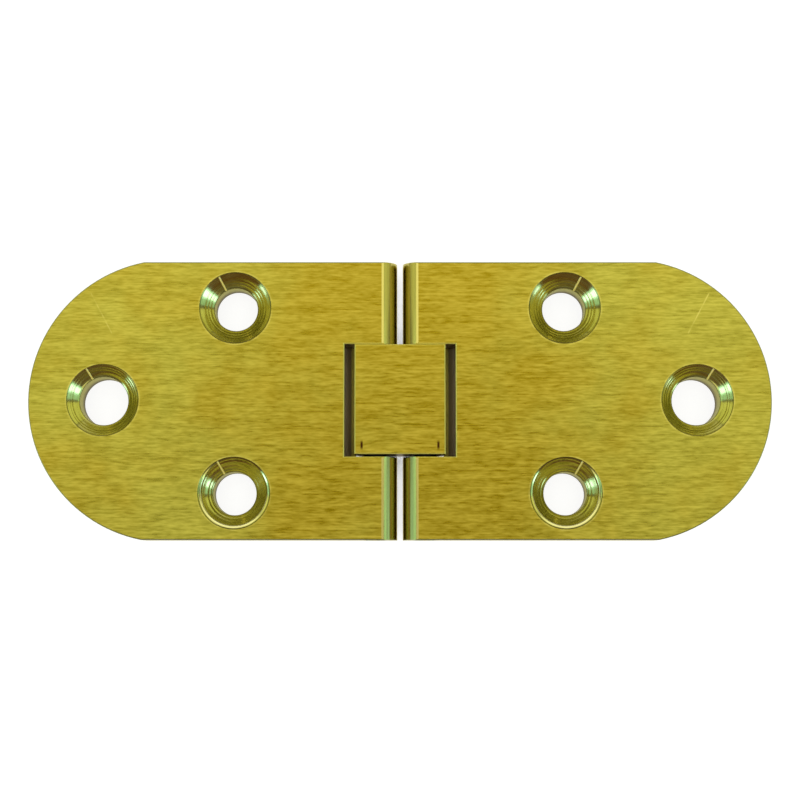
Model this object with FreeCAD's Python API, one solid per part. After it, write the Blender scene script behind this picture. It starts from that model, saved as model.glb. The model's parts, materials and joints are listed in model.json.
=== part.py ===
import FreeCAD, Part
import math
import os

# Table flap hinge in brass: two round-ended leaves, a link block between them and a pin at each end of it.
# Opened flat it lies in the XY plane: X along its length, Y across it, Z up out of the brushed faces.
# The origin is at the middle of the underside. Sizes are in millimetres.

# Leaves
overall_length = 80.0
leaf_width = 30.0
leaf_thickness = 4.8
joint_gap = 0.6
end_radius_excess = 0.3        # the round end is drawn with this much more than half the width
edge_break = 0.12

# Pins and the rounded noses around them
pin_radius = 1.25
pin_depth = 2.25               # from the brushed face down to the pin's centre
pin_end_recess = 0.1
pin_end_chamfer = 0.2
nose_excess = 0.15             # the nose's round is this much larger than the pin's depth
nose_edge_break = 0.12

# Link block
link_width = 11.86
link_reach = 2.2               # from the pin's centre to the link's end, and to its underside
link_bore_clearance = 0.05
link_play_upper = 0.03         # the block lies against the cheeks on this side, +Y
link_play_lower = 0.28
pocket_clearance = 0.15        # left by the block's corner as it turns past the pocket's floor

# Screw holes, countersunk from the brushed face
inner_hole_x = 17.8
inner_hole_inset = 5.0         # from the leaf's straight edge
inner_hole_radius = 2.33
outer_hole_inset = 8.0         # from the tip of the round end
outer_hole_radius = 2.62
countersink_radius = 3.9
countersink_half_angle = 45.0
hole_exit_break = 0.15

# Worked out from the sizes above
half_length = overall_length / 2
half_width = leaf_width / 2
inner_face_x = joint_gap / 2
nose_radius = pin_depth + nose_excess
pin_x = inner_face_x + nose_radius
pin_z = leaf_thickness - pin_depth
end_radius = half_width + end_radius_excess
end_arc_start_x = half_length - end_radius + math.sqrt(end_radius ** 2 - half_width ** 2)
link_end_x = pin_x + link_reach
link_corner_sweep = math.hypot(link_reach, pin_depth)
pocket_radius = link_corner_sweep + pocket_clearance
pocket_end_x = pin_x + pocket_radius
pocket_width = link_width + link_play_upper + link_play_lower
link_centre_y = (link_play_lower - link_play_upper) / 2
past = 1.0                     # how far cutting tools run past the faces they cut


def side_point(x, z):
    """A point of a profile seen from the side, in the plane of X and Z"""
    return FreeCAD.Vector(x, 0, z)


def end_point(y, z):
    """A point of a profile seen from the end, in the plane of Y and Z"""
    return FreeCAD.Vector(0, y, z)


def on_circle(centre_x, centre_z, radius, degrees):
    """The point of a circle in the side view, its angle measured from +X towards +Z"""
    angle = math.radians(degrees)
    return side_point(centre_x + radius * math.cos(angle), centre_z + radius * math.sin(angle))


def arc(start, middle, end):
    return Part.Arc(start, middle, end).toShape()


def path(*points):
    """Straight edges from each point to the next"""
    return [Part.makeLine(start, end) for start, end in zip(points, points[1:])]


def prism(edges, travel):
    """The solid that a closed run of edges sweeps along a straight travel"""
    return Part.Face(Part.Wire(edges)).extrude(travel)


def across(edges, half_span):
    """A side profile made into a solid that reaches half_span to each side of the middle"""
    solid = prism(edges, FreeCAD.Vector(0, 2 * half_span, 0))
    solid.translate(FreeCAD.Vector(0, -half_span, 0))
    return solid


def along(edges, start_x, end_x):
    """An end profile made into a solid from start_x to end_x"""
    solid = prism(edges, FreeCAD.Vector(end_x - start_x, 0, 0))
    solid.translate(FreeCAD.Vector(start_x, 0, 0))
    return solid


def cross_rod(radius, length, x):
    """A round rod across the hinge at the pins' height"""
    return Part.makeCylinder(radius, length, FreeCAD.Vector(x, -length / 2, pin_z), FreeCAD.Vector(0, 1, 0))


def round_ended_plate():
    """The right leaf's flat bar with its rounded end, the sharp edge of its top outline taken off"""
    back_x = inner_face_x - past
    lower_corner = FreeCAD.Vector(end_arc_start_x, -half_width, 0)
    upper_corner = FreeCAD.Vector(end_arc_start_x, half_width, 0)
    tip = FreeCAD.Vector(half_length, 0, 0)
    outline = path(upper_corner, FreeCAD.Vector(back_x, half_width, 0),
                   FreeCAD.Vector(back_x, -half_width, 0), lower_corner)
    outline.append(arc(lower_corner, tip, upper_corner))
    plate = prism(outline, FreeCAD.Vector(0, 0, leaf_thickness))
    rim = [edge for edge in plate.Edges
           if edge.BoundBox.ZMin > leaf_thickness / 2 and edge.BoundBox.XMax > inner_face_x]
    return plate.makeChamfer(edge_break, rim)


def nose_waste():
    """What is milled off the leaf's inner end: above the pin a round about it, below it a flat stop"""
    crest_angle = 180 - math.degrees(math.asin(pin_depth / nose_radius))
    crest_x = on_circle(pin_x, pin_z, nose_radius, crest_angle).x
    arc_end_angle = crest_angle + math.degrees(nose_edge_break / nose_radius)
    nose_start = side_point(inner_face_x, pin_z)
    nose_middle = on_circle(pin_x, pin_z, nose_radius, (180 + arc_end_angle) / 2)
    nose_end = on_circle(pin_x, pin_z, nose_radius, arc_end_angle)
    face_start = side_point(crest_x + nose_edge_break, leaf_thickness)
    edges = path(nose_end, face_start, side_point(face_start.x, leaf_thickness + past),
                 side_point(inner_face_x - 2 * past, leaf_thickness + past),
                 side_point(inner_face_x - 2 * past, -past),
                 side_point(inner_face_x, -past), nose_start)
    edges.append(arc(nose_start, nose_middle, nose_end))
    return across(edges, half_width + past)


def pocket_waste():
    """The pocket for the link: an end wall that turns into a round floor about the pin, its rim broken"""
    top = leaf_thickness + past
    floor_z = pin_z - pocket_radius
    wall_foot = side_point(pocket_end_x, pin_z)
    floor_start = side_point(pin_x, floor_z)
    side_edges = path(wall_foot, side_point(pocket_end_x, leaf_thickness - edge_break),
                      side_point(pocket_end_x + edge_break, leaf_thickness),
                      side_point(pocket_end_x + edge_break, top), side_point(inner_face_x - past, top),
                      side_point(inner_face_x - past, floor_z), floor_start)
    side_edges.append(arc(floor_start, on_circle(pin_x, pin_z, pocket_radius, -45), wall_foot))
    half_pocket = pocket_width / 2
    half_rim = half_pocket + edge_break
    end_edges = path(end_point(-half_pocket, floor_z - past), end_point(half_pocket, floor_z - past),
                     end_point(half_pocket, leaf_thickness - edge_break),
                     end_point(half_rim, leaf_thickness), end_point(half_rim, top),
                     end_point(-half_rim, top), end_point(-half_rim, leaf_thickness),
                     end_point(-half_pocket, leaf_thickness - edge_break),
                     end_point(-half_pocket, floor_z - past))
    lengthways = along(end_edges, inner_face_x - past, pocket_end_x + past)
    return across(side_edges, half_rim + past).common(lengthways)


def screw_hole(x, y, radius):
    """A through hole with a conical seat for a flat head, and a light break where it leaves the underside"""
    slope = math.tan(math.radians(countersink_half_angle))
    seat_depth = (countersink_radius - radius) / slope
    over_radius = countersink_radius + past * slope
    shank = Part.makeCylinder(radius, leaf_thickness + 2 * past, FreeCAD.Vector(x, y, -past))
    seat = Part.makeCone(radius, over_radius, seat_depth + past,
                         FreeCAD.Vector(x, y, leaf_thickness - seat_depth))
    exit_cone = Part.makeCone(radius + hole_exit_break + past, radius, hole_exit_break + past,
                              FreeCAD.Vector(x, y, -past))
    return shank.fuse([seat, exit_cone])


def right_leaf():
    inner_y = half_width - inner_hole_inset
    holes = [screw_hole(inner_hole_x, inner_y, inner_hole_radius),
             screw_hole(inner_hole_x, -inner_y, inner_hole_radius),
             screw_hole(half_length - outer_hole_inset, 0, outer_hole_radius)]
    pin_bore = cross_rod(pin_radius, leaf_width + 2 * past, pin_x)
    return round_ended_plate().cut([nose_waste(), pocket_waste(), pin_bore] + holes)


def link_block():
    """Square above the pins and rounded about them below, so that it turns down into either pocket"""
    underside = pin_z - link_reach
    right_foot = side_point(pin_x, underside)
    left_foot = side_point(-pin_x, underside)
    right_side = side_point(link_end_x, pin_z)
    left_side = side_point(-link_end_x, pin_z)
    side_edges = path(left_side, side_point(-link_end_x, leaf_thickness - edge_break),
                      side_point(-link_end_x + edge_break, leaf_thickness),
                      side_point(link_end_x - edge_break, leaf_thickness),
                      side_point(link_end_x, leaf_thickness - edge_break), right_side)
    side_edges.append(arc(right_side, on_circle(pin_x, pin_z, link_reach, -45), right_foot))
    side_edges += path(right_foot, left_foot)
    side_edges.append(arc(left_foot, on_circle(-pin_x, pin_z, link_reach, -135), left_side))
    half_link = link_width / 2
    end_edges = path(end_point(-half_link, underside - past), end_point(half_link, underside - past),
                     end_point(half_link, leaf_thickness - edge_break),
                     end_point(half_link - edge_break, leaf_thickness),
                     end_point(-half_link + edge_break, leaf_thickness),
                     end_point(-half_link, leaf_thickness - edge_break),
                     end_point(-half_link, underside - past))
    lengthways = along(end_edges, -link_end_x - past, link_end_x + past)
    block = across(side_edges, half_link + past).common(lengthways)
    bore_radius = pin_radius + link_bore_clearance
    bores = [cross_rod(bore_radius, link_width + 2 * past, x) for x in (-pin_x, pin_x)]
    block = block.cut(bores)
    block.translate(FreeCAD.Vector(0, link_centre_y, 0))
    return block


def pivot_pin(x):
    """A plain pin held in both cheeks of one leaf, its ends just short of the leaf's edges"""
    pin = cross_rod(pin_radius, leaf_width - 2 * pin_end_recess, x)
    rims = [edge for edge in pin.Edges if isinstance(edge.Curve, Part.Circle)]
    return pin.makeChamfer(pin_end_chamfer, rims)


def export(name, shape):
    solids = shape.Solids
    print(name, "solids", len(solids), "valid", shape.isValid(), "volume", round(shape.Volume, 3))
    solids[0].exportStep("parts/" + name + ".step")


os.makedirs("parts", exist_ok=True)
leaf = right_leaf()
export("leaf_right", leaf)
export("leaf_left", leaf.mirror(FreeCAD.Vector(0, 0, 0), FreeCAD.Vector(1, 0, 0)))
export("link_block", link_block())
export("pivot_pin_left", pivot_pin(-pin_x))
export("pivot_pin_right", pivot_pin(pin_x))
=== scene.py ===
# %% [markdown]
# # A brass flap hinge for a table
# The hinge lies open and flat with its brushed faces up: two round-ended leaves, a square link block
# in a pocket between them, and a pin at each end of the link. The five solids come ready made, at
# their real size. What is left for this lesson is everything the eye reads as metal: the brushed
# faces, the tool's rings in the screw seats, the light on the rounded noses, and the studio around it.

# %% Load the solids
import json
import math
from types import SimpleNamespace

import bpy
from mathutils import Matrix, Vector


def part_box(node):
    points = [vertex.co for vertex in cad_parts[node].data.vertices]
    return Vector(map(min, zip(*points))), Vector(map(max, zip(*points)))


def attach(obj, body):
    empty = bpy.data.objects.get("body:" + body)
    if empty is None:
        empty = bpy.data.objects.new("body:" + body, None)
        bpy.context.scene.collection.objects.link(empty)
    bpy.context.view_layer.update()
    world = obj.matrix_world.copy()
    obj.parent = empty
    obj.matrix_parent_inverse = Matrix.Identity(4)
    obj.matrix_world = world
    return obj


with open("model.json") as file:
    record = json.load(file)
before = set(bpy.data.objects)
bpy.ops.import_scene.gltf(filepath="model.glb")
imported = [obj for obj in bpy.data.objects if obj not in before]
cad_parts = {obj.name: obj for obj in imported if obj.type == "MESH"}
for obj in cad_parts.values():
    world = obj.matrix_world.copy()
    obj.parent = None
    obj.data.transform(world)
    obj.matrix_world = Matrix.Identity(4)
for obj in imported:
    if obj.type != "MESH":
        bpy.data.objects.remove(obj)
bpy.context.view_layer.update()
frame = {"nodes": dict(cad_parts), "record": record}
nodes = frame["nodes"]
print("solids:", sorted(nodes))

# %% [markdown]
# ## Sizes that the solids already know
# A value typed twice goes wrong once. So the height of the brushed faces, the places and radii of the
# screw holes and the place of a pin are read from the solids and their record. Only the screw seat's
# rim has no entry there, so it is measured on the mesh: it is the widest ring of points in the brushed
# face around a hole. Lengths are in metres, and MM turns a millimetre into one.

# %% Measure the leaves, the holes and the pins
MM = 0.001
# A point that is no farther than this from a face lies in it
LEVEL = 0.01 * MM
FACE_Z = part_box("leaf_left")[1].z
BODY_OF_SIDE = {"left": "fixed_leaf", "right": "flap_leaf"}
SIGN_OF_SIDE = {"left": -1, "right": 1}


def middle(node):
    """Middle of a node's box"""
    low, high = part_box(node)
    return (low + high) / 2


def screw_holes(side):
    """Centre and radius of each hole of one leaf, in the plane of its brushed face"""
    holes = []
    for mount in frame["record"]["mounts"]:
        if not mount["name"].endswith(side):
            continue
        x, y = mount["pos_m"][:2]
        if mount["kind"] == "bolt_pattern":
            half_step = mount["dims"]["spacing_y_mm"] * MM / 2
            radius = mount["dims"]["hole_r_mm"] * MM
            holes += [(x, y - half_step, radius), (x, y + half_step, radius)]
        if mount["kind"] == "bore":
            holes.append((x, y, mount["dims"]["r_mm"] * MM))
    return holes


def rim_radius(side):
    """Widest ring of face points within reach of the leaf's end hole"""
    x, y, radius = screw_holes(side)[-1]
    reach = 2 * radius
    places = [v.co for v in nodes["leaf_" + side].data.vertices if abs(v.co.z - FACE_Z) < LEVEL]
    distances = [math.hypot(p.x - x, p.y - y) for p in places]
    return max(d for d in distances if d < reach)


HOLES = {side: screw_holes(side) for side in BODY_OF_SIDE}
RIM_RADIUS = rim_radius("left")
RIGHT_PIN = middle("pivot_pin_right")
print("holes per leaf:", {side: len(holes) for side, holes in HOLES.items()})
print("seat rim radius, mm:", round(RIM_RADIUS / MM, 3))

# %% [markdown]
# ## A small language for nodes
# Shader trees and geometry trees are built from the same sums. Written as node calls they fill pages,
# so one class wraps a socket and lets Python's operators add the Math nodes. Colours and vectors
# don't pass through Math nodes, which would turn a colour grey: they go through Mix and Vector Math.
# Every other node comes from one method, which takes the node's type, its settings and its sockets.


# %% Sockets that can be added and multiplied
class Value:
    """An output socket on which Python's operators add Math nodes"""

    def __init__(self, graph, socket):
        self.graph = graph
        self.socket = socket

    def math(self, operation, *others):
        return self.graph.add("ShaderNodeMath", {"operation": operation}, dict(enumerate((self, *others))))

    def __add__(self, other):
        return self.math("ADD", other)

    def __sub__(self, other):
        return self.math("SUBTRACT", other)

    def __mul__(self, other):
        return self.math("MULTIPLY", other)

    def __truediv__(self, other):
        return self.math("DIVIDE", other)

    def __rsub__(self, other):
        return self.graph.add("ShaderNodeMath", {"operation": "SUBTRACT"}, {0: other, 1: self})

    __radd__ = __add__
    __rmul__ = __mul__

    def abs(self):
        return self.math("ABSOLUTE")

    def power(self, exponent):
        return self.math("POWER", exponent)

    def step(self, low, high):
        """0 below low, 1 above high, and a smooth rise between them"""
        settings = {"interpolation_type": "SMOOTHSTEP", "clamp": True}
        sockets = {"Value": self, "From Min": low, "From Max": high}
        return self.graph.add("ShaderNodeMapRange", settings, sockets)

    def fall(self, low, high):
        """1 below low, 0 above high, and a smooth fall between them"""
        return 1 - self.step(low, high)


print("beside + - * and /, a value has:", [name for name in vars(Value) if not name.startswith("_")])

# %% [markdown]
# The tree that is being built holds the rest: a method for any node, and a few short ones for what
# the finishes need often. A line between two points of a plane is one of them: it makes scratches
# and nicks from their real ends, where a painted mask would need a picture.

# %% Trees that build themselves
# Where the sides of a drawn line fade out, as shares of its width
LINE_SIDES = (0.35, 0.65)


class Graph:
    """A node tree that is being built"""

    def __init__(self, tree):
        self.tree = tree
        tree.nodes.clear()

    def node(self, kind, settings=None, sockets=None):
        """A new node: its settings first, then the values or links of its sockets"""
        made = self.tree.nodes.new(kind)
        for name, value in (settings or {}).items():
            setattr(made, name, value)
        for key, value in (sockets or {}).items():
            target = self.find(made.inputs, key)
            if isinstance(value, Value):
                self.tree.links.new(value.socket, target)
            else:
                target.default_value = value
        return made

    def add(self, kind, settings=None, sockets=None, output=0):
        """A new node's output, by its name, or its first one"""
        made = self.node(kind, settings, sockets)
        return Value(self, self.find(made.outputs, output))

    def find(self, sockets, key):
        """A socket by its number, or the first one of that name that its node shows"""
        if isinstance(key, int):
            return [s for s in sockets if s.enabled][key]
        return next(s for s in sockets if s.enabled and s.name == key)

    def mix_colour(self, share, first, second):
        """first where share is 0, second where it is 1"""
        colours = [c if isinstance(c, Value) else (*c, 1.0) for c in (first, second)]
        return self.add("ShaderNodeMix", {"data_type": "RGBA"},
                        {"Factor": share, "A": colours[0], "B": colours[1]}, "Result")

    def stretch(self, vector, scale):
        """A vector with each of its parts multiplied by its own number"""
        return self.add("ShaderNodeVectorMath", {"operation": "MULTIPLY"}, {0: vector, 1: scale})

    def parts(self, vector):
        """The three numbers of a vector"""
        made = self.node("ShaderNodeSeparateXYZ", sockets={"Vector": vector})
        return [Value(self, socket) for socket in made.outputs]

    def line(self, x, y, start, end, width):
        """1 on a straight line between two points of a plane, with soft sides"""
        run = (end[0] - start[0], end[1] - start[1])
        length = math.hypot(*run)
        along = (x - start[0]) * (run[0] / length) + (y - start[1]) * (run[1] / length)
        across = ((x - start[0]) * (run[1] / length) - (y - start[1]) * (run[0] / length)).abs()
        ends = along.step(-width, width) * along.fall(length - width, length + width)
        return ends * across.fall(LINE_SIDES[0] * width, LINE_SIDES[1] * width)

    def noise(self, vector, detail=2.0, roughness=0.5):
        """Soft random hills between 0 and 1, one unit of the vector apart"""
        return self.add("ShaderNodeTexNoise", {"noise_dimensions": "3D"},
                        {"Vector": vector, "Scale": 1.0, "Detail": detail, "Roughness": roughness}, "Fac")


print("tree methods ready:", [name for name in vars(Graph) if not name.startswith("_")])

# %% [markdown]
# ## What every finish starts from
# All the finishes are laid out in millimetres on the object's own coordinates, so they stay where
# they are when a leaf swings, and the grain has its real size on every piece. The direction a face
# looks in, also on the object's own axes, tells the brushed faces from the milled edges.


# %% A metal finish and its coordinates
def start_finish(name):
    """A new material with its tree, the place in millimetres and the way a surface looks"""
    material = bpy.data.materials.new(name)
    material.use_nodes = True
    graph = Graph(material.node_tree)
    coordinates = graph.node("ShaderNodeTexCoord")
    place = graph.stretch(Value(graph, coordinates.outputs["Object"]), (1 / MM,) * 3)
    facing = Value(graph, coordinates.outputs["Normal"])
    return material, graph, place, facing


def end_finish(graph, colour, roughness, height, depth):
    """A metal whose colour, roughness and fine relief are given; depth is the relief's height in metres"""
    relief = graph.add("ShaderNodeBump", sockets={"Strength": 1.0, "Distance": depth, "Height": height})
    shader = graph.add("ShaderNodeBsdfPrincipled", sockets={
        "Base Color": colour, "Metallic": 1.0, "Roughness": roughness, "Normal": relief})
    graph.node("ShaderNodeOutputMaterial", sockets={"Surface": shader})


print("finishes are laid out in millimetres:", 1 / MM, "to the metre")

# %% [markdown]
# ## Brushed brass: its tones
# The metal has more than one tone. On the faces it drifts between straw and gold. It is paler where
# it was milled, drilled or turned. A painted highlight makes it brightest on the pocket's edges, the
# noses' crest and the seats' rims, and painted shade darkens the leaf's outline, the pocket and the
# foot of the bores. The tones could be picked on a colour wheel in the shader editor. Here they are
# named values, so that the finish reads as a list of what has happened to the metal and of where
# light and shade are painted.

# %% Tones of the brass, as shares of red, green and blue light
STRAW = (0.51, 0.45, 0.037)
GOLD = (0.49, 0.335, 0.002)
MILLED = (0.56, 0.47, 0.12)
BRIGHT = (0.54, 0.46, 0.13)
DRILLED = (0.50, 0.46, 0.11)
# Painted highlight on the pocket's edges, the noses' crest and the seats' rims, and also the colour of the
# scratch
SCRATCH_AND_HIGHLIGHT = (0.82, 0.72, 0.15)
PALE = (1.0, 0.9, 0.2)
# Painted shade on the chamfers of the leaf's outline
OUTLINE_SHADE = (0.17, 0.18, 0.03)
# Painted shade in the pocket round the link
POCKET_SHADE = (0.26, 0.18, 0.05)
# Painted shade at the foot of the bores
BORE_FOOT_SHADE = (0.13, 0.10, 0.03)
BURNT = (0.07, 0.025, 0.004)
BLACK = (0.0, 0.0, 0.0)
print("straw and gold:", STRAW, GOLD)

# %% [markdown]
# ## Brushed brass: telling its surfaces apart
# One material covers a whole leaf, so it has to know where it is. A face looks straight up or down,
# a broken edge halfway, a wall not at all. Places, in millimetres from the middle of the hinge, tell
# the rest: the noses lie next to the joint, the pocket lies round the link, and a bore within its
# hole's radius. Each mask is 1 on its own surface and 0 elsewhere, with a soft step between them.
# Several materials on one solid would do it too, but its mesh would have to be split for them.

# %% Masks for the surfaces
# How much a surface looks up or down, from 0 on a wall to 1 on a face
FLAT = (0.990, 0.998)
CREST = (0.955, 0.965)
BEVEL_FROM = (0.55, 0.65)
BEVEL_TO = (0.75, 0.85)
# How much it looks along the pins
SIDEWAYS = (0.3, 0.6)
# Places in millimetres
NOSE_END = (2.6, 2.9)
POCKET_END = (6.1, 6.2)
POCKET_SIDE = (6.3, 6.4)
UPPER_HALF = (1.0, 2.0)
CREST_HIGHLIGHT_SPAN = (-2.0, 6.0)
BORE_WALL = (0.02, 0.10)
RIM_OUTSIDE = 0.06
RIM_WIDTH = (0.05, 0.13)
# How much painted highlight the noses' crest has in front, and how much more at the back
CREST_FRONT = 0.1
CREST_BACK = 0.45


def rings_round_holes(x, y):
    """1 in the bores of the screw holes, and 1 on the rims round the seats, which get a painted highlight;
    the holes lie alike on both leaves
    """
    bore, rim = 0.0, 0.0
    for hole_x, hole_y, radius in HOLES["right"][1:]:
        from_x = x.abs() - hole_x / MM
        from_y = y.abs() - hole_y / MM
        distance = (from_x * from_x + from_y * from_y).math("SQRT")
        bore = distance.fall(radius / MM + BORE_WALL[0], radius / MM + BORE_WALL[1]) + bore
        off_rim = (distance - RIM_RADIUS / MM - RIM_OUTSIDE).abs()
        rim = off_rim.fall(*RIM_WIDTH) + rim
    return bore, rim


def surfaces(graph, place, facing):
    """Masks that are 1 on their own kind of surface; the noses' crest is weighted for a painted highlight
    that grows towards the back
    """
    x, y, z = graph.parts(place)
    side, up = [part.abs() for part in graph.parts(facing)[1:]]
    on = SimpleNamespace()
    on.face = up.step(*FLAT)
    on.top = on.face * z.step(*UPPER_HALF)
    on.nose = (1 - on.face) * x.abs().fall(*NOSE_END) * side.fall(*SIDEWAYS)
    # Painted highlight: the crest mask is weighted to be brighter towards the back
    on.crest = on.nose * up.step(*CREST) * (y.step(*CREST_HIGHLIGHT_SPAN) * CREST_BACK + CREST_FRONT)
    on.edge = up.step(*BEVEL_FROM) * up.fall(*BEVEL_TO) * (1 - on.nose)
    bore, on.rim = rings_round_holes(x, y)
    on.bore = bore * (1 - on.face)
    on.inside = x.abs().fall(*POCKET_END) * y.abs().fall(*POCKET_SIDE)
    on.pocket = on.inside * (1 - on.face) * (1 - on.nose) * (1 - on.edge)
    return on


print("pocket ends, mm:", POCKET_END, "noses end, mm:", NOSE_END)

# %% [markdown]
# ## Brushed brass: its lines
# The faces were drawn along a brush, so they carry short streaks along the hinge, about a fifth of a
# millimetre wide and one long. The edges were milled, so their lines run round the bar, and the noses
# were turned, so theirs run along the pin. A picture of scratches would repeat and blur. Noise that
# is stretched along the line has no end and no seam: a fine one gives the streaks, a coarse one
# groups them, and hairlines run through both.

# %% Grain
# Share of each kind of streak, and its hills per millimetre along X, Y and Z
BRUSH_STREAKS = (
    (0.42, (0.9, 4.4, 4.4)),
    (0.36, (0.32, 2.2, 2.2)),
    (0.22, (0.2, 11.0, 11.0)),
)
MILL_LINES = (0.12, 0.12, 13.0)
MILL_CONTRAST = 0.4
LATHE_LINES = (6.0, 0.2, 6.0)
LATHE_CONTRAST = 0.2


def grain(graph, place, on):
    """The lines that the brush, the mill and the lathe left, each on its own surfaces, about 0.5"""
    brushed = sum(graph.noise(graph.stretch(place, hills)) * share for share, hills in BRUSH_STREAKS)
    milled = (graph.noise(graph.stretch(place, MILL_LINES), detail=3.0) - 0.5) * MILL_CONTRAST + 0.5
    turned = (graph.noise(graph.stretch(place, LATHE_LINES), detail=3.0) - 0.5) * LATHE_CONTRAST + 0.5
    edges = milled * (1 - on.nose) + turned * on.nose
    return brushed * on.face + edges * (1 - on.face)


print("kinds of brush streak:", len(BRUSH_STREAKS))

# %% [markdown]
# ## Brushed brass: its colour
# The colour is laid down in this order: the alloy, the tools' lines in it, then painted light and
# shade and the marks of use. A painted highlight brightens the pocket's rim, the link's edges, the
# noses' crest and the seats' rims, and painted shade darkens the leaf's outline, the foot of the bores
# and the pocket. Each leaf has one light scratch, and the link has two small burnt ticks. A point's
# share of each tone is its mask.

# %% Colour of the metal and of its wear
DRIFT_HILLS = (0.13, 0.13, 0.13)
PATCH_HILLS = (0.9, 0.9, 0.9)
NOISE_RANGE = (0.3, 0.7)
# Places in millimetres
NEAR_JOINT = (6.0, 24.0)
# Height in the bore below which the painted shade fades in
BORE_SHADE_HEIGHT = (0.2, 2.6)
# What the joint and the drift add to the warmth of the tone, and what is taken off it everywhere
JOINT_WARMTH = 0.6
DRIFT_WARMTH = 1.6
COOLNESS = 0.5
# Share of a tone where its mask is 1
MILLED_WALLS = 0.8
DARK_GROOVES = 0.34
LIGHT_RIDGES = 0.22
# Shares of painted highlight on the pocket's edges and round the seats' rims
HIGHLIGHTED_EDGES = 0.85
HIGHLIGHTED_RIMS = 0.4
# Share of painted shade on the leaf's outline
SHADED_OUTLINE = 0.8
# Share of the scratch that shows everywhere, and what the patches add to it
FAINT_SCRATCH = 0.08
PATCHY_SCRATCH = 0.45
# Two ends in millimetres, the same on both halves, and a width
SCRATCH = ((33.4, 11.6), (31.1, 7.25), 0.14)
TICK = ((4.12, -5.25), (4.12, -4.45), 0.24)


def alloy(graph, place, on):
    """The tone of the clean metal: it drifts on the faces, and is warmer near the joint"""
    x = graph.parts(place)[0]
    drift = graph.noise(graph.stretch(place, DRIFT_HILLS), detail=3.0)
    near_joint = x.abs().fall(*NEAR_JOINT)
    warmth = (near_joint * JOINT_WARMTH + drift * DRIFT_WARMTH - COOLNESS).step(0.0, 1.0)
    tone = graph.mix_colour(warmth, STRAW, GOLD)
    tone = graph.mix_colour((1 - on.face) * MILLED_WALLS, tone, MILLED)
    return graph.mix_colour(on.nose, tone, BRIGHT)


def streaked(graph, tone, lines):
    """The tone with its lines, darker in the grooves and lighter between them"""
    dark = graph.mix_colour(DARK_GROOVES, tone, BLACK)
    light = graph.mix_colour(LIGHT_RIDGES, tone, PALE)
    return graph.mix_colour(lines.step(*NOISE_RANGE), dark, light)


def wear_and_painted_light(graph, place, on, colour):
    """The colour with its marks: painted highlight on edges, crest and rims, painted shade on the outline,
    the bores' foot and the pocket, a scratch and a burnt tick
    """
    x, y, z = graph.parts(place)
    patches = graph.noise(graph.stretch(place, PATCH_HILLS)).step(*NOISE_RANGE)
    # Painted highlight on the pocket's edges, the noses' crest and the seats' rims
    painted_highlight = on.edge * on.inside * HIGHLIGHTED_EDGES + on.crest + on.rim * on.top * patches * HIGHLIGHTED_RIMS
    colour = graph.mix_colour(painted_highlight, colour, SCRATCH_AND_HIGHLIGHT)
    # Painted shade on the leaf's outline
    colour = graph.mix_colour(on.edge * (1 - on.inside) * SHADED_OUTLINE, colour, OUTLINE_SHADE)
    # Painted shade: the bores get darker towards their foot
    bore_wall = graph.mix_colour(z.step(*BORE_SHADE_HEIGHT), BORE_FOOT_SHADE, DRILLED)
    colour = graph.mix_colour(on.bore, colour, bore_wall)
    # Painted shade in the pocket
    colour = graph.mix_colour(on.pocket, colour, POCKET_SHADE)
    scratched = graph.line(x.abs(), y, *SCRATCH) * on.top * (patches * PATCHY_SCRATCH + FAINT_SCRATCH)
    colour = graph.mix_colour(scratched, colour, SCRATCH_AND_HIGHLIGHT)
    return graph.mix_colour(graph.line(x.abs(), y, *TICK) * on.top, colour, BURNT)


print("scratch, mm:", SCRATCH, "tick, mm:", TICK)

# %% [markdown]
# ## Brushed brass: putting it together
# Roughness says how far a surface smears what it mirrors. The brushed faces smear it most evenly, the
# turned noses are smoother and show bands, and the bores and the pocket are rougher. The same lines
# that darken the colour vary the roughness and raise the relief, a few thousandths of a millimetre
# high, so that light and colour agree. The leaves and the link share this one finish.

# %% Brushed brass for the leaves and the link
BRUSHED_ROUGHNESS = 0.30
# What the lines and each kind of surface add to the roughness, or take off it
FROM_LINES = 0.25
FROM_NOSE = -0.14
FROM_BORE = 0.3
FROM_POCKET = 0.15
FROM_EDGE = -0.05
FROM_INNER_EDGE = 0.4
LINE_RELIEF = 0.0045 * MM
SHALLOWER_ON_NOSE = 0.5


def brushed_brass(name):
    material, graph, place, facing = start_finish(name)
    on = surfaces(graph, place, facing)
    lines = grain(graph, place, on)
    colour = wear_and_painted_light(graph, place, on, streaked(graph, alloy(graph, place, on), lines))
    roughness = BRUSHED_ROUGHNESS + (lines - 0.5) * FROM_LINES * on.face + on.nose * FROM_NOSE
    roughness = roughness + on.bore * FROM_BORE + on.pocket * FROM_POCKET
    roughness = roughness + on.edge * (on.inside * FROM_INNER_EDGE + FROM_EDGE)
    height = lines * (1 - on.nose * SHALLOWER_ON_NOSE)
    end_finish(graph, colour, roughness, height, LINE_RELIEF)
    return material


BRUSHED = brushed_brass("brushed_brass")
for name in ("leaf_left", "leaf_right", "link_block"):
    nodes[name].material_slots[0].material = BRUSHED
print("brushed:", BRUSHED.name, "nodes:", len(BRUSHED.node_tree.nodes))

# %% [markdown]
# ## Turned steel for the pins
# Only the ends of the pins show, as discs in the long edges of the leaves. They were parted off in a
# lathe, which leaves fine rings about the pin's own axis. The rings need each pin's centre, so the
# distance is taken from whichever pin is nearer, left or right of the middle. The stretch that runs
# through the link is painted near black, a painted shade that shows as a dark line in the slot beside
# the link.

# %% Steel for the pins
STEEL = (0.60, 0.59, 0.56)
DULL_STEEL = (0.42, 0.41, 0.39)
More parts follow.
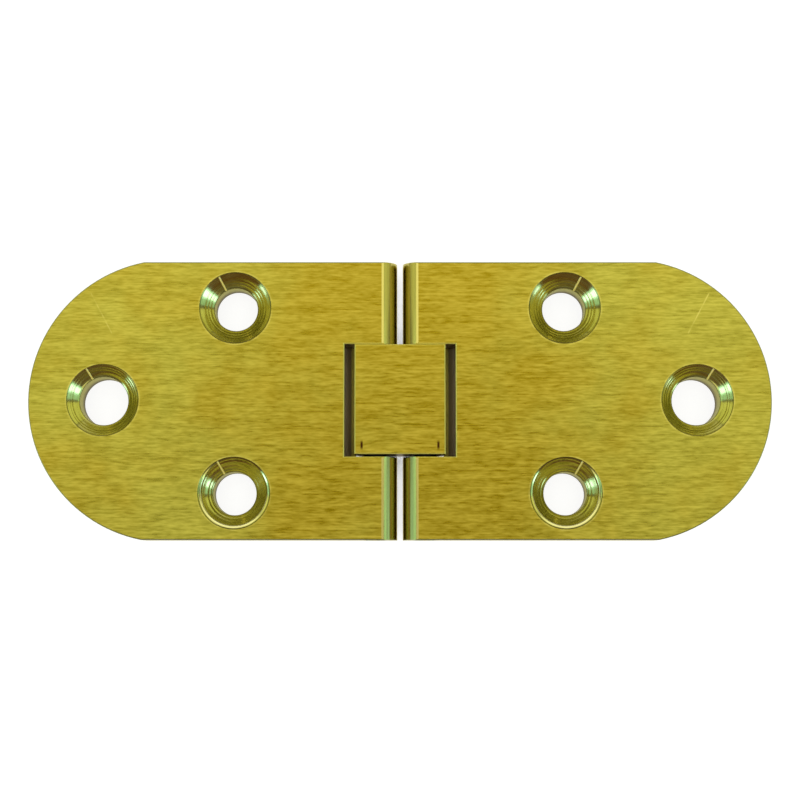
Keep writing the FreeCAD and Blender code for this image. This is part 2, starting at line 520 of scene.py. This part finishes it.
# Painted shade: near black on the stretch of pin inside the link, seen in the slot beside it
PIN_SHADE = (0.03, 0.025, 0.02)
PIN_SHADE_END = (6.6, 6.8)
HAZE_HILLS = (1.5, 0.6, 1.5)
STEEL_ROUGHNESS = 0.26
HAZE_ROUGHNESS = 0.14
SHADED_PIN_ROUGHNESS = 0.2
PARTING_RINGS = 38.0
RING_SHARE = 0.6
HAZE_SHARE = 0.4
PARTING_RELIEF = 0.004 * MM


def turned_steel(name):
    material, graph, place, facing = start_finish(name)
    x, y, z = graph.parts(place)
    from_axis_x = x.abs() - RIGHT_PIN.x / MM
    from_axis_z = z - RIGHT_PIN.z / MM
    distance = (from_axis_x * from_axis_x + from_axis_z * from_axis_z).math("SQRT")
    rings = (distance * PARTING_RINGS).math("SINE") * 0.5 + 0.5
    haze = graph.noise(graph.stretch(place, HAZE_HILLS), detail=3.0)
    # Painted shade on the stretch of pin inside the link
    in_shade = y.abs().fall(*PIN_SHADE_END)
    colour = graph.mix_colour(haze, DULL_STEEL, STEEL)
    colour = graph.mix_colour(in_shade, colour, PIN_SHADE)
    roughness = STEEL_ROUGHNESS + haze * HAZE_ROUGHNESS + in_shade * SHADED_PIN_ROUGHNESS
    end_finish(graph, colour, roughness, rings * RING_SHARE + haze * HAZE_SHARE, PARTING_RELIEF)
    return material


PIN_STEEL = turned_steel("turned_steel")
for side in BODY_OF_SIDE:
    nodes["pivot_pin_" + side].material_slots[0].material = PIN_STEEL
print("pin steel:", len(PIN_STEEL.node_tree.nodes), "nodes")

# %% [markdown]
# ## The rings in the screw seats
# A countersink cutter chatters a little and leaves rings in the cone, four or so, uneven and rounded
# like low waves. They catch the light as bright and dark arcs, and that needs true relief: bump alone
# has no edge against the hole. Towards the hole the cone flares, as a worn cutter leaves it, and the
# two holes in front have a lip below their rim where screw heads bit. The cone is a lathe form, so a
# rule makes it. These are the rule's sizes, as inputs of its tree.

# %% Sizes of a turned seat
SEAT_INPUTS = (
    ("Rim Radius", "NodeSocketFloat", RIM_RADIUS),
    ("Half Angle", "NodeSocketFloat", math.radians(45.0)),
    ("Rings", "NodeSocketFloat", 4.3),
    ("Ring Height", "NodeSocketFloat", 0.0075 * MM),
    ("Lip Place", "NodeSocketFloat", 0.83),
    ("Lip Height", "NodeSocketFloat", 0.12 * MM),
    ("Flare", "NodeSocketFloat", 0.05 * MM),
    ("Proud", "NodeSocketFloat", 0.006 * MM),
    ("Sunk", "NodeSocketFloat", 0.03 * MM),
    ("Around", "NodeSocketInt", 144),
    ("Profile Points", "NodeSocketInt", 120),
    ("Seed", "NodeSocketInt", 7),
)
SEAT_SIZES = {label: size for label, kind, size in SEAT_INPUTS}


def tree_with_inputs(name, inputs):
    """A geometry tree with named inputs, and each input's identifier by its name"""
    tree = bpy.data.node_groups.new(name, "GeometryNodeTree")
    tree.is_modifier = True
    tree.interface.new_socket("Geometry", in_out="INPUT", socket_type="NodeSocketGeometry")
    tree.interface.new_socket("Geometry", in_out="OUTPUT", socket_type="NodeSocketGeometry")
    identifiers = {}
    for label, kind, default in inputs:
        socket = tree.interface.new_socket(label, in_out="INPUT", socket_type=kind)
        socket.default_value = default
        identifiers[label] = socket.identifier
    finish = tree.interface.new_socket("Finish", in_out="INPUT", socket_type="NodeSocketMaterial")
    identifiers["Finish"] = finish.identifier
    return tree, identifiers


print("sizes of a seat:", list(SEAT_SIZES))

# %% [markdown]
# ## A tube for each seat
# A tube of unit size stands for each seat, because a tube closes round the hole by itself. Every
# point of it keeps two numbers: its turn round the hole, and the way it has gone round a thin closed
# profile, up the turned surface from the hole to the rim and back down just under the metal. The
# holes come in as points, and each tube also keeps its hole's centre and a random phase, so that no
# two seats have the same rings.


# %% Tubes on the holes
def store(graph, geometry, name, value, domain="POINT"):
    """Keeps a number on every point of the geometry, or on every instance, under a name"""
    return graph.add("GeometryNodeStoreNamedAttribute", {"data_type": "FLOAT", "domain": domain},
                     {"Geometry": geometry, "Name": name, "Value": value}, "Geometry")


def stored(graph, name):
    return graph.add("GeometryNodeInputNamedAttribute", {"data_type": "FLOAT"}, {"Name": name}, "Attribute")


def unit_tube(graph, size):
    """A tube whose points keep their turn round its axis and the way round the profile, 0 to 1"""
    tube = graph.add("GeometryNodeMeshCylinder", {"fill_type": "NONE"},
                     {"Vertices": size["Around"], "Side Segments": size["Profile Points"],
                      "Radius": 1.0, "Depth": 1.0}, "Mesh")
    x, y, z = graph.parts(graph.add("GeometryNodeInputPosition"))
    tube = store(graph, tube, "turn", y.math("ARCTAN2", x))
    return store(graph, tube, "way_round", z + 0.5)


def tube_on_each(graph, size, holes, tube):
    """A tube on each hole's point, with the hole's centre and a random phase kept on it"""
    sockets = {"Points": holes, "Instance": tube}
    tubes = graph.add("GeometryNodeInstanceOnPoints", sockets=sockets, output="Instances")
    centre = graph.parts(graph.add("GeometryNodeInputPosition"))
    for label, part in zip(("centre_x", "centre_y", "centre_z"), centre):
        tubes = store(graph, tubes, label, part, "INSTANCE")
    phase = graph.add("FunctionNodeRandomValue", {"data_type": "FLOAT"},
                      {"Min": 0.0, "Max": 1.0, "Seed": size["Seed"]}, "Value")
    tubes = store(graph, tubes, "phase", phase, "INSTANCE")
    return graph.add("GeometryNodeRealizeInstances", sockets={"Geometry": tubes}, output="Geometry")


print("points in a tube:", SEAT_SIZES["Around"] * (SEAT_SIZES["Profile Points"] + 1))

# %% [markdown]
# ## The profile of a seat
# The share up the cone is 0 at the hole and 1 at the rim. Three sines on it and on the turn give the
# rings: a squared one is the waves themselves, a slower one moves them apart unevenly, and one round
# the hole makes them deeper on one side. A bell curve gives the lip, which is highest in front. What
# comes out is the lift of a point off the plain cone, at right angles to it.

# %% Rings, lip and flare
# A phase from 0 to 1 becomes an angle by this factor
FULL_TURN = 6.28
# How quickly and how far the rings wander from even steps, and how much deeper they are on one side
WANDER = 9.0
WANDER_REACH = 0.22
RUNOUT = 0.35
# Height of the lip all round, and what is added towards the leaf's end and towards the front
LIP_ROUND = 0.52
LIP_TO_END = 0.1
LIP_TO_FRONT = 0.56
# Places and widths as shares of the way up the cone
LIP_WIDTH = 0.065
HOLE_EDGE = (0.0, 0.05)
RIM_EDGE = (0.94, 1.0)


def cutter_rings(size, share, turn, phase):
    """Height of the rings, from 0 to a little more than Ring Height"""
    uneven = (share * WANDER + phase * FULL_TURN).math("SINE") * WANDER_REACH
    wave = ((share * size["Rings"] + phase + uneven) * math.pi).math("SINE").power(2.0)
    runout = 1 + (turn + phase * FULL_TURN).math("SINE") * RUNOUT
    return wave * size["Ring Height"] * runout


def bitten_lip(graph, size, share, turn):
    """About 1 on the crest of the lip in front, about 0 behind, and 0 on a hole without a lip"""
    from_lip = (share - size["Lip Place"]) / LIP_WIDTH
    lip_side = stored(graph, "lip_side")
    lopsided = LIP_ROUND - turn.math("COSINE") * lip_side * LIP_TO_END - turn.math("SINE") * LIP_TO_FRONT
    return (from_lip * from_lip * -1.0).math("EXPONENT") * lip_side.abs() * lopsided


def lift_off_cone(size, share, under, relief):
    """Relief on the upper side of the profile, which sinks into the metal at both its ends"""
    fade = share.step(*HOLE_EDGE) * share.fall(*RIM_EDGE)
    above = (size["Sunk"] + size["Proud"] + relief) * fade * (1 - under)
    below = size["Sunk"] * (1 + under * fade)
    return above - below


print("lip lies at", SEAT_SIZES["Lip Place"], "of the way up, its bell curve", LIP_WIDTH, "wide")

# %% [markdown]
# ## Bending the tubes
# The last step moves every point at once: outwards by the cone's radius at its share, down by the
# cone's depth, and off it by the lift. The points keep their share, the lip and their place round
# the hole, because the finish will ask for them. Points that come to lie together are merged, which
# closes the profile, and the tree ends with plain geometry and its material.

# %% Geometry Nodes: the rule of a turned seat
TOGETHER = 0.0002 * MM


def place_on_cone(graph, size, share, turn, lift):
    """Where a point goes, and how far it lies aside of and ahead of the hole's centre"""
    hole_radius = stored(graph, "hole_radius")
    slant = size["Rim Radius"] - hole_radius
    sine = size["Half Angle"].math("SINE")
    cosine = size["Half Angle"].math("COSINE")
    radius = hole_radius + slant * share - lift * cosine
    height = (share - 1) * slant * cosine / sine + lift * sine
    aside = radius * turn.math("COSINE")
    ahead = radius * turn.math("SINE")
    position = graph.add("ShaderNodeCombineXYZ", sockets={
        "X": stored(graph, "centre_x") + aside,
        "Y": stored(graph, "centre_y") + ahead,
        "Z": stored(graph, "centre_z") + height})
    return position, aside, ahead


def seat_tree():
    tree, identifiers = tree_with_inputs("turned_seats", SEAT_INPUTS)
    graph = Graph(tree)
    given = graph.node("NodeGroupInput")
    size = {label: Value(graph, given.outputs[label]) for label in SEAT_SIZES}
    seats = tube_on_each(graph, size, Value(graph, given.outputs["Geometry"]), unit_tube(graph, size))

    way = stored(graph, "way_round")
    turn = stored(graph, "turn")
    share = 1 - (way * 2 - 1).abs()
    under = (way - 0.5).math("GREATER_THAN", 0.0)
    lip = bitten_lip(graph, size, share, turn)
    flare = (1 - share * 2).math("MAXIMUM", 0.0).power(2.0)
    rings = cutter_rings(size, share, turn, stored(graph, "phase"))
    relief = rings + lip * size["Lip Height"] + flare * size["Flare"]
    lift = lift_off_cone(size, share, under, relief)
    position, aside, ahead = place_on_cone(graph, size, share, turn, lift)

    kept = {"up_the_cone": share, "on_lip": lip, "aside": aside / MM, "ahead": ahead / MM}
    for label, value in kept.items():
        seats = store(graph, seats, label, value)
    seats = graph.add("GeometryNodeSetPosition", sockets={"Geometry": seats, "Position": position})
    seats = graph.add("GeometryNodeMergeByDistance", sockets={"Geometry": seats, "Distance": TOGETHER})
    seats = graph.add("GeometryNodeSetShadeSmooth", sockets={"Geometry": seats}, output="Geometry")
    seats = graph.add("GeometryNodeSetMaterial", sockets={
        "Geometry": seats, "Material": Value(graph, given.outputs["Finish"])})
    graph.node("NodeGroupOutput", sockets={"Geometry": seats})
    return tree, identifiers


SEAT_TREE, SEAT_IDS = seat_tree()
print("seat tree:", len(SEAT_TREE.nodes), "nodes,", len(SEAT_IDS), "inputs")

# %% [markdown]
# ## Turned brass
# The seats were never brushed, so they are paler and far glossier than the faces: each ring is a
# small mirror. Fine rings too small to model lie between the large ones, as bump. They follow the
# way up the cone, which the tree stored on every point. A faint wavering of the colour around each
# ring keeps six seats from looking stamped. Painted shade darkens each seat along the hole and the
# rim, the lip is pale, partly from wear and partly as a painted highlight, and each seat has one dull
# nick across it, whose pale colour is a painted highlight.

# %% A finish for the turned seats
BARE = (0.63, 0.60, 0.17)
SHADED = (0.45, 0.41, 0.08)
# Pale tone of the lip, partly wear and partly a painted highlight
LIP_WEAR_AND_HIGHLIGHT = (0.92, 0.86, 0.40)
# Painted shade along the seat's hole and rim
EDGE_SHADE = (0.10, 0.06, 0.02)
# Painted highlight on the nick, whose dent is real relief
NICK_HIGHLIGHT = (0.95, 0.82, 0.28)
WAVER_HILLS = (0.9, 0.9, 3.0)
FINE_RINGS = 70.0
RING_WAVER = 5.0
# What the waver and the fine rings give to the tone, and the part of it that counts
WAVER_TONE = 0.7
RING_TONE = 0.3
TONE_RANGE = (0.2, 0.8)
# Painted shade along the hole and the rim, by the share of the way up the cone, and how dark it is
SHADE_AT_HOLE = (0.03, 0.13)
SHADE_AT_RIM = (0.90, 0.97)
HOLE_SHADE = 0.8
RIM_SHADE = 0.85
LIP_WEAR_AND_HIGHLIGHT_SHARE = 0.8
SEAT_ROUGHNESS = 0.11
WAVER_ROUGHNESS = 0.08
NICK_ROUGHNESS = 0.6
# The bump's depth, and the heights of fine rings and nick as shares of it
SEAT_RELIEF = 0.06 * MM
FINE_RING_HEIGHT = 0.005
NICK_DEPTH = 0.3
# The nick runs out from the hole, here in millimetres from its centre
NICK_ANGLE = math.radians(118.0)
NICK_RADII = (2.2, 3.9)
NICK_ENDS = [(radius * math.cos(NICK_ANGLE), radius * math.sin(NICK_ANGLE)) for radius in NICK_RADII]
NICK_WIDTH = 0.17


def turned_brass(name, mirror):
    """mirror is 1 on the left leaf and -1 on the right, whose nicks lie the other way round"""
    material, graph, place, facing = start_finish(name)
    share, lip, aside, ahead = [
        graph.add("ShaderNodeAttribute", {"attribute_name": label}, output="Fac")
        for label in ("up_the_cone", "on_lip", "aside", "ahead")]
    waver = graph.noise(graph.stretch(place, WAVER_HILLS))
    fine_rings = (share * FINE_RINGS + waver * RING_WAVER).math("SINE") * 0.5 + 0.5
    tone = (waver * WAVER_TONE + fine_rings * RING_TONE).step(*TONE_RANGE)
    nick = graph.line(aside * mirror, ahead, *NICK_ENDS, NICK_WIDTH)
    # Painted shade along the hole and along the rim
    painted_shade = share.fall(*SHADE_AT_HOLE) * HOLE_SHADE + share.step(*SHADE_AT_RIM) * RIM_SHADE
    colour = graph.mix_colour(tone, SHADED, BARE)
    # The lip is paler: partly wear, partly a painted highlight
    colour = graph.mix_colour(lip * LIP_WEAR_AND_HIGHLIGHT_SHARE, colour, LIP_WEAR_AND_HIGHLIGHT)
    colour = graph.mix_colour(painted_shade, colour, EDGE_SHADE)
    # The nick's pale colour is a painted highlight
    colour = graph.mix_colour(nick, colour, NICK_HIGHLIGHT)
    roughness = SEAT_ROUGHNESS + waver * WAVER_ROUGHNESS + nick * NICK_ROUGHNESS
    height = fine_rings * FINE_RING_HEIGHT - nick * NICK_DEPTH
    end_finish(graph, colour, roughness, height, SEAT_RELIEF)
    return material


TURNED = {side: turned_brass("turned_brass_" + side, -SIGN_OF_SIDE[side]) for side in BODY_OF_SIDE}
print("turned brass:", len(TURNED["left"].node_tree.nodes), "nodes")

# %% [markdown]
# ## Growing the seats
# The tree runs once for each leaf, because each leaf's seats must swing with it. The modifier's
# inputs are set by their identifiers, the result is taken as a plain mesh, and the modifier goes
# away with the points that it grew from.


# %% Turn the seats of each leaf
def grow(name, points, tree, settings):
    """Runs a geometry tree on a mesh of points, and keeps the result as a plain mesh of that name"""
    seedbed = bpy.data.objects.new(name + "_points", points)
    bpy.context.scene.collection.objects.link(seedbed)
    modifier = seedbed.modifiers.new(tree.name, "NODES")
    modifier.node_group = tree
    for identifier, value in settings.items():
        modifier[identifier] = value
    evaluated = seedbed.evaluated_get(bpy.context.evaluated_depsgraph_get())
    mesh = bpy.data.meshes.new_from_object(evaluated)
    seedbed.modifiers.clear()
    bpy.data.objects.remove(seedbed)
    mesh.name = name
    # The first material slot is the points' own and empty
    mesh.materials.pop(index=0)
    piece = bpy.data.objects.new(name, mesh)
    bpy.context.scene.collection.objects.link(piece)
    return piece


def hole_points(side):
    """The leaf's holes as loose points at the height of its face, with their radii and the side of a lip"""
    points = bpy.data.meshes.new("holes_" + side)
    points.from_pydata([(x, y, FACE_Z) for x, y, radius in HOLES[side]], [], [])
    radii = points.attributes.new("hole_radius", "FLOAT", "POINT")
    radii.data.foreach_set("value", [radius for x, y, radius in HOLES[side]])
    lips = points.attributes.new("lip_side", "FLOAT", "POINT")
    sides = [-SIGN_OF_SIDE[side] if y < 0 else 0.0 for x, y, radius in HOLES[side]]
    lips.data.foreach_set("value", sides)
    return points


def turned_seats(side):
    settings = {SEAT_IDS[label]: size for label, size in SEAT_SIZES.items()}
    settings[SEAT_IDS["Finish"]] = TURNED[side]
    seats = grow("screw_seats_" + side, hole_points(side), SEAT_TREE, settings)
    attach(seats, BODY_OF_SIDE[side])
    return seats


for side in BODY_OF_SIDE:
    seats = turned_seats(side)
    print(seats.name, "faces:", len(seats.data.polygons), "finish:", seats.data.materials[0].name)

# %% [markdown]
# ## The floor
# The hinge lies on white. A white floor under plain light would come out grey in the holes, where
# little light falls, and the holes are white in the picture. So the floor glows a little to the
# camera, to reflections and to what is seen through glass, and the rest of its white is ordinary
# paint, which keeps the soft shadow along the edges. Only where a floor point sees almost nothing of
# the sky, as at the bottom of the thin slot beside the link, does the glow give way.


# %% White floor
FLOOR_GLOW = 0.86
FLOOR_PAINT = (0.30, 0.30, 0.30, 1.0)
FLOOR_REACH = 3.0
SKY_REACH = 20 * MM
SKY_SEEN = (0.04, 0.065)
SEEING_RAYS = ("Is Camera Ray", "Is Glossy Ray", "Is Transmission Ray")


def floor_finish():
    material = bpy.data.materials.new("white_floor")
    material.use_nodes = True
    graph = Graph(material.node_tree)
    rays = graph.node("ShaderNodeLightPath")
    seen = sum(Value(graph, rays.outputs[label]) for label in SEEING_RAYS)
    sky = graph.add("ShaderNodeAmbientOcclusion", {"samples": 16}, {"Distance": SKY_REACH}, "AO")
    glow = seen.math("MINIMUM", 1.0) * sky.step(*SKY_SEEN) * FLOOR_GLOW
    light = graph.add("ShaderNodeEmission", sockets={"Color": (1.0, 1.0, 1.0, 1.0), "Strength": glow})
    paint = graph.add("ShaderNodeBsdfDiffuse", sockets={"Color": FLOOR_PAINT})
    both = graph.add("ShaderNodeAddShader", sockets={0: light, 1: paint})
    graph.node("ShaderNodeOutputMaterial", sockets={"Surface": both})
    return material


def floor():
    mesh = bpy.data.meshes.new("floor")
    corners = [(a * FLOOR_REACH, b * FLOOR_REACH, 0.0) for a, b in ((-1, -1), (1, -1), (1, 1), (-1, 1))]
    mesh.from_pydata(corners, [], [(0, 1, 2, 3)])
    mesh.materials.append(floor_finish())
    made = bpy.data.objects.new("floor", mesh)
    bpy.context.scene.collection.objects.link(made)
    return made


print("floor:", floor().name)

# %% [markdown]
# ## The light
# Metal shows what stands around it. Seen from above, the flat faces mirror the ceiling, so wide soft
# panels there give them their colour. The panels leave a gap straight overhead, where a camera and
# its stand would block the light: the faces dim a little towards the front, and walls that face each
# other, as in the seats and between the noses, send the eye back up into that gap or to its bright
# front edge. The cones and the noses also mirror the horizon. A window with its curtain, a second
# window above it and a doorway beside it give the white and green glints, pale walls give the arcs
# below them their olive, and low in front it stays dark. These stand in pairs, left and right. Each
# panel's strength is the brightness of its surface, where 1 is white, turned into watts by its area.

# %% Panels of light
SIDE_PANELS = (
    # name, distance, azimuth of the right one from +X in degrees, elevation in degrees,
    # width, height, brightness, colour
    ("window", 0.60, -21.0, 12.0, 0.15, 0.25, 4.8, (0.27, 0.42, 1.0)),
    ("curtain", 0.62, -21.0, 12.0, 0.25, 0.25, 2.2, (0.28, 0.60, 1.0)),
    ("upper_window", 0.60, -13.0, 34.0, 0.38, 0.19, 1.2, (0.40, 0.87, 1.0)),
    ("doorway", 0.60, -3.0, 11.0, 0.13, 0.26, 1.1, (0.33, 0.72, 1.0)),
    ("wall", 0.70, 33.0, 23.0, 0.60, 0.68, 0.72, (0.93, 1.0, 0.42)),
)
END_PANELS = (
    ("back_wall", 0.80, 90.0, 18.0, 1.00, 0.50, 0.6, (1.0, 1.0, 0.95)),
    ("front_wall", 0.80, 270.0, 46.0, 2.00, 0.40, 0.9, (1.0, 0.97, 0.9)),
)


def lamp(name, location, aim, width, height, brightness, colour=(1.0, 1.0, 1.0)):
    """A rectangle of light that faces along -aim; brightness 1 looks white"""
    light = bpy.data.lights.new(name, "AREA")
    light.shape = "RECTANGLE"
    light.size = width
    light.size_y = height
    light.energy = brightness * math.pi * width * height
    light.color = colour
    made = bpy.data.objects.new(name, light)
    made.location = location
    made.rotation_euler = aim.to_track_quat("Z", "Y").to_euler()
    bpy.context.scene.collection.objects.link(made)


def panel(name, distance, azimuth, elevation, width, height, brightness, colour):
    """A panel that stands round the hinge and faces it"""
    around, up = math.radians(azimuth), math.radians(elevation)
    aim = Vector((math.cos(around) * math.cos(up), math.sin(around) * math.cos(up), math.sin(up)))
    lamp(name, aim * distance, aim, width, height, brightness, colour)


for name, distance, azimuth, *rest in SIDE_PANELS:
    panel(name + "_right", distance, azimuth, *rest)
    panel(name + "_left", distance, 180.0 - azimuth, *rest)
for values in END_PANELS:
    panel(*values)
print("panels:", [values[0] for values in SIDE_PANELS + END_PANELS])

# %% [markdown]
# The ceiling is five panels at one height round the gap. The room behind all the panels is a plain
# grey, and brown in the low front, where it darkens the far walls of the seats. The colours are shown
# as they are, without a film look, so that brass comes out as it was written.

# %% Ceiling and room
CEILING_HEIGHT = 0.90
CEILINGS = (
    # name, left edge, right edge, front edge, back edge, brightness
    ("ceiling_back", -0.55, 0.55, 0.08, 1.00, 1.03),
    ("ceiling_front", -0.40, 0.40, -0.60, -0.11, 0.80),
    ("ceiling_left", -0.55, -0.15, -0.11, 0.08, 0.68),
    ("ceiling_right", 0.15, 0.55, -0.11, 0.08, 0.68),
    ("ceiling_edge", -0.24, 0.24, -0.14, -0.08, 1.3),
)
ROOM = (0.20, 0.195, 0.18)
DARK_FRONT = (0.16, 0.078, 0.04)
FRONTWARDS = (0.2, 0.6)
UPWARDS = (0.14, 0.34)


def ceiling(name, left, right, front, back, brightness):
    centre = Vector(((left + right) / 2, (front + back) / 2, CEILING_HEIGHT))
    lamp(name, centre, Vector((0.0, 0.0, 1.0)), right - left, back - front, brightness)


def room():
    """A grey room that is dark low down in front, where the camera's side of it lies"""
    world = bpy.data.worlds.new("room")
    bpy.context.scene.world = world
    world.use_nodes = True
    graph = Graph(world.node_tree)
    x, y, z = graph.parts(graph.add("ShaderNodeTexCoord", output="Generated"))
    front = (0 - y).step(*FRONTWARDS) * z.fall(*UPWARDS)
    background = graph.add("ShaderNodeBackground", sockets={
        "Color": graph.mix_colour(front, ROOM, DARK_FRONT), "Strength": 1.0})
    graph.node("ShaderNodeOutputWorld", sockets={"Surface": background})


for values in CEILINGS:
    ceiling(*values)
room()
bpy.context.scene.view_settings.view_transform = "Standard"
print("ceiling panels:", len(CEILINGS), "at", CEILING_HEIGHT, "m")

# %% [markdown]
# ## The camera
# The picture was taken from almost straight above with a short tele lens, from a little in front:
# the far walls of the holes show more than the near ones. The camera stands 200 mm off, leans by a
# few degrees, and its lens makes 86 mm at the brushed face fill the picture.

# %% Camera
CAMERA_DISTANCE = 200 * MM
CAMERA_LEAN = math.radians(5.4)
PICTURE_WIDTH = 86.0 * MM
SENSOR_WIDTH = 36.0
NEAREST, FARTHEST = 0.01, 20.0


def camera():
    data = bpy.data.cameras.new("camera")
    data.sensor_width = SENSOR_WIDTH
    data.lens = SENSOR_WIDTH * CAMERA_DISTANCE / PICTURE_WIDTH
    data.clip_start = NEAREST
    data.clip_end = FARTHEST
    made = bpy.data.objects.new("camera", data)
    target = Vector((0.0, 0.0, FACE_Z))
    back = Vector((0.0, -math.sin(CAMERA_LEAN), math.cos(CAMERA_LEAN)))
    made.location = target + back * CAMERA_DISTANCE
    made.rotation_euler = back.to_track_quat("Z", "Y").to_euler()
    bpy.context.scene.collection.objects.link(made)
    bpy.context.scene.camera = made
    return made


print("lens, mm:", round(camera().data.lens, 1))

# %% [markdown]
# ## The end
# The scene is complete: the solids, their finishes, the seats, the floor, the light and the camera.

# %% The end
print("scene built")
